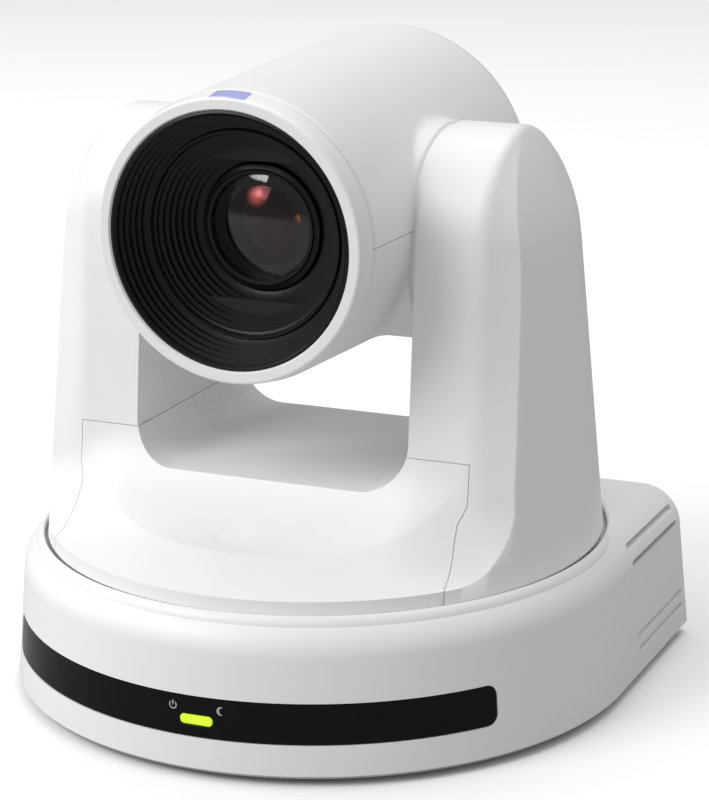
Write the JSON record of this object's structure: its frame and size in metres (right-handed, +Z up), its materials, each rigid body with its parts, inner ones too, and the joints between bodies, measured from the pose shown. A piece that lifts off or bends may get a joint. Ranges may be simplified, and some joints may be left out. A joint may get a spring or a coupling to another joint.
{
  "type": "ptz camera",
  "caption": "Indoor pan-tilt-zoom camera: D-shaped base with connector panel, turntable yoke with two arms, and a round camera head with a ribbed lens hood.",
  "frame": {"origin": "on the pan axis, in the plane of the bottom plate's underside", "axes": "+Z up along the pan axis, -Y the way the lens looks at rest, +X to the right seen from the front"},
  "size_m": [0.156, 0.1502, 0.1561],
  "materials": {
    "white_shell": "fine satin moulded plastic",
    "white_ring": "smooth semi-gloss plastic",
    "black_gloss": "polished infrared-clear plastic",
    "black_matte": "fine matt plastic",
    "status_green": "translucent light pipe",
    "tally_lavender": "translucent plastic",
    "rubber_black": "soft rubber",
    "sheet_steel": "zinc-plated sheet",
    "bright_steel": "nickel plated",
    "brass": "turned",
    "circuit_board": "solder mask",
    "grey_plastic": "moulded plastic",
    "lens_glass": "coated glass"
  },
  "bodies": {
    "base": {"base_cover": "white_shell", "bottom_plate": "sheet_steel", "tripod_insert": "brass", "foot_1": "rubber_black", "foot_2": "rubber_black", "foot_3": "rubber_black", "foot_4": "rubber_black", "cover_screw_1": "bright_steel", "cover_screw_2": "bright_steel", "cover_screw_3": "bright_steel", "cover_screw_4": "bright_steel", "ir_window": "black_gloss", "status_led_lens": "status_green", "ir_receiver": "black_matte", "connector_panel": "grey_plastic", "main_board": "circuit_board", "lan_jack": "bright_steel", "serial_jack": "bright_steel", "sdi_jack": "bright_steel", "hdmi_jack": "bright_steel", "dc_jack": "black_matte", "pan_motor": "bright_steel", "pan_belt": "rubber_black", "pan_bearing_outer": "bright_steel", "pan_cable_harness": "black_matte", "fan_frame": "black_matte"},
    "reset_button": {"reset_button": "black_matte"},
    "pan_motor_pulley": {"pan_motor_pulley": "brass"},
    "fan_rotor": {"fan_rotor": "black_matte"},
    "yoke": {"turntable": "sheet_steel", "pan_bearing_inner": "bright_steel", "pan_pulley": "grey_plastic", "yoke_front_cover": "white_shell", "yoke_rear_cover": "white_shell", "arm_cover_left": "white_shell", "arm_cover_right": "white_shell", "yoke_frame": "sheet_steel", "tilt_bearing_left": "bright_steel", "tilt_bearing_right": "bright_steel", "tilt_motor": "bright_steel", "tilt_belt": "rubber_black", "tilt_cable_harness": "black_matte"},
    "tilt_motor_pulley": {"tilt_motor_pulley": "brass"},
    "head": {"head_upper_shell": "white_shell", "head_lower_shell": "white_shell", "front_ring": "white_ring", "tally_lamp": "tally_lavender", "lens_hood": "black_matte", "front_lens": "lens_glass", "lens_barrel": "black_matte", "iris_unit": "black_matte", "image_sensor_board": "circuit_board", "zoom_motor": "bright_steel", "focus_motor": "bright_steel", "head_chassis": "sheet_steel", "trunnion_left": "bright_steel", "trunnion_right": "bright_steel", "tilt_pulley": "grey_plastic"},
    "zoom_group": {"zoom_group": "lens_glass"},
    "focus_group": {"focus_group": "lens_glass"}
  },
  "joints": [
    {"name": "pan", "type": "hinge", "parent": "base", "child": "yoke", "pos_m": [0, 0, 0.036], "axis": [0, 0, 1], "range_deg": [-175, 175]},
    {"name": "tilt", "type": "hinge", "parent": "yoke", "child": "head", "pos_m": [0, 0.001, 0.1122], "axis": [-1, 0, 0], "range_deg": [-30, 90]},
    {"name": "pan_motor_spin", "type": "hinge", "parent": "base", "child": "pan_motor_pulley", "pos_m": [-0.038, -0.024, 0.027], "axis": [0, 0, 1], "range_deg": [-700, 700]},
    {"name": "tilt_motor_spin", "type": "hinge", "parent": "yoke", "child": "tilt_motor_pulley", "pos_m": [0.044, 0.001, 0.0742], "axis": [-1, 0, 0], "range_deg": [-84, 252]},
    {"name": "fan_spin", "type": "hinge", "parent": "base", "child": "fan_rotor", "pos_m": [0.061, 0.024, 0.0162], "axis": [1, 0, 0], "continuous": true},
    {"name": "reset_press", "type": "slide", "parent": "base", "child": "reset_button", "axis": [0, -1, 0], "range_m": [0, 0.0008], "stiffness_N_per_m": 600},
    {"name": "zoom_slide", "type": "slide", "parent": "head", "child": "zoom_group", "axis": [0, 1, 0], "range_m": [0, 0.012]},
    {"name": "focus_slide", "type": "slide", "parent": "head", "child": "focus_group", "axis": [0, 1, 0], "range_m": [-0.003, 0.003]}
  ],
  "couplings": [
    {"joint": "pan_motor_spin", "follows": "pan", "ratio": 4},
    {"joint": "tilt_motor_spin", "follows": "tilt", "ratio": 2.8}
  ]
}
